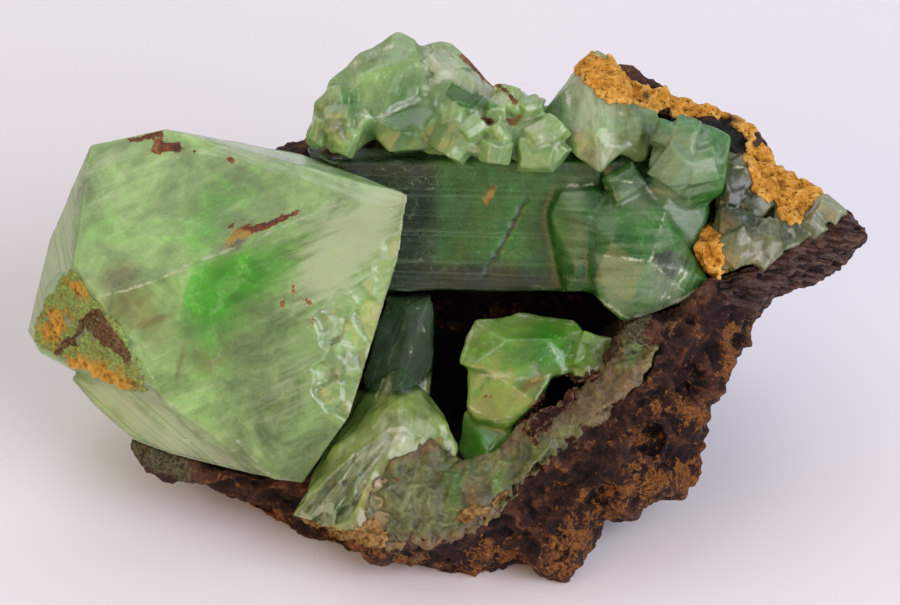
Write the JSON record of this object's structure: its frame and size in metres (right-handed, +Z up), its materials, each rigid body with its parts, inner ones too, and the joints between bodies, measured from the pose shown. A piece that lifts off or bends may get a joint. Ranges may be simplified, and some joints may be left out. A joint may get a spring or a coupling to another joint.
{
  "type": "anglesite specimen",
  "caption": "Hand specimen of green anglesite crystals, one large and blocky, grown over a hollow in rusty brown gossan rock with a flat base.",
  "frame": {"origin": "on the flat patch under the rock, 18 mm behind the rock's front foot", "axes": "+Z up, +X along the specimen's length to the right, +Y to its back; the crystal-bearing side leans back 38 degrees and faces -Y and up"},
  "size_m": [0.0893, 0.0501, 0.0409],
  "materials": {
    "gossan": "matte",
    "pale_green_anglesite": "gloss",
    "deep_green_anglesite": "gloss",
    "grey_green_anglesite": "gloss",
    "bright_green_anglesite": "gloss",
    "olive_crust": "matte"
  },
  "bodies": {
    "root": {"gossan_matrix": "gossan", "main_crystal": "pale_green_anglesite", "bridge_crystals": "deep_green_anglesite", "top_left_crystals": "grey_green_anglesite", "top_right_crystals": "grey_green_anglesite", "wall_crystals": "grey_green_anglesite", "foot_crystals": "pale_green_anglesite", "vug_crystal": "bright_green_anglesite", "druse_crust": "olive_crust"}
  },
  "joints": []
}
